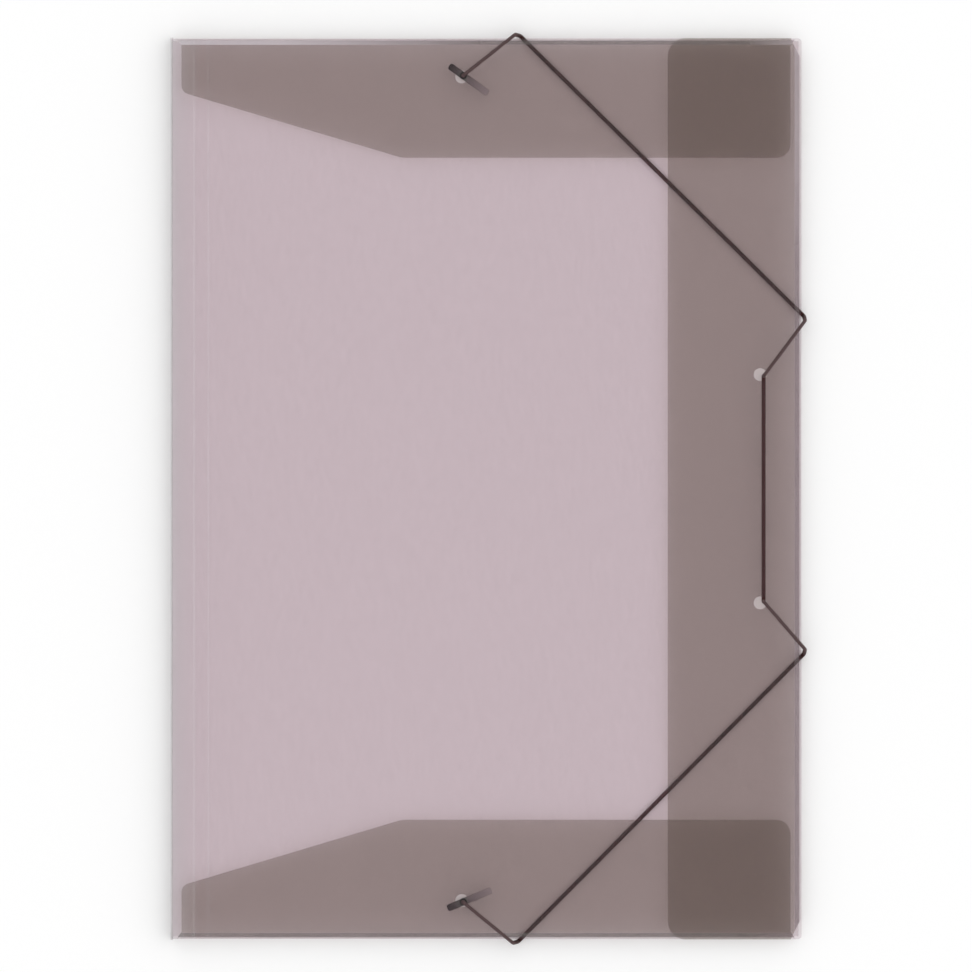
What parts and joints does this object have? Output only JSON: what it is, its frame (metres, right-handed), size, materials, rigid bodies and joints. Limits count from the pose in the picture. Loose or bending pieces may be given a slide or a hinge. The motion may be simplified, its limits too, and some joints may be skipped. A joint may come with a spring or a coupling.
{
  "type": "three flap folder",
  "caption": "Closed foolscap document folder in translucent film with end and side flaps on gussets, held shut over two corners by a round elastic cord with metal end bars.",
  "frame": {"origin": "middle of the underside of the bounding box, where the front cover lies on a table", "axes": "+X from the spine to the fore-edge, +Y to the head of the folder, +Z out of the back cover, which faces up"},
  "size_m": [0.2468, 0.3538, 0.0087],
  "materials": {
    "film": "smoke-tinted translucent polypropylene film with a fine embossed grain",
    "elastic": "dark braided cover over rubber",
    "end_bars": "bright stamped metal"
  },
  "bodies": {
    "root": {"folder_sheet": "film", "elastic_cord": "elastic", "upper_end_bar": "end_bars", "lower_end_bar": "end_bars"}
  },
  "joints": []
}
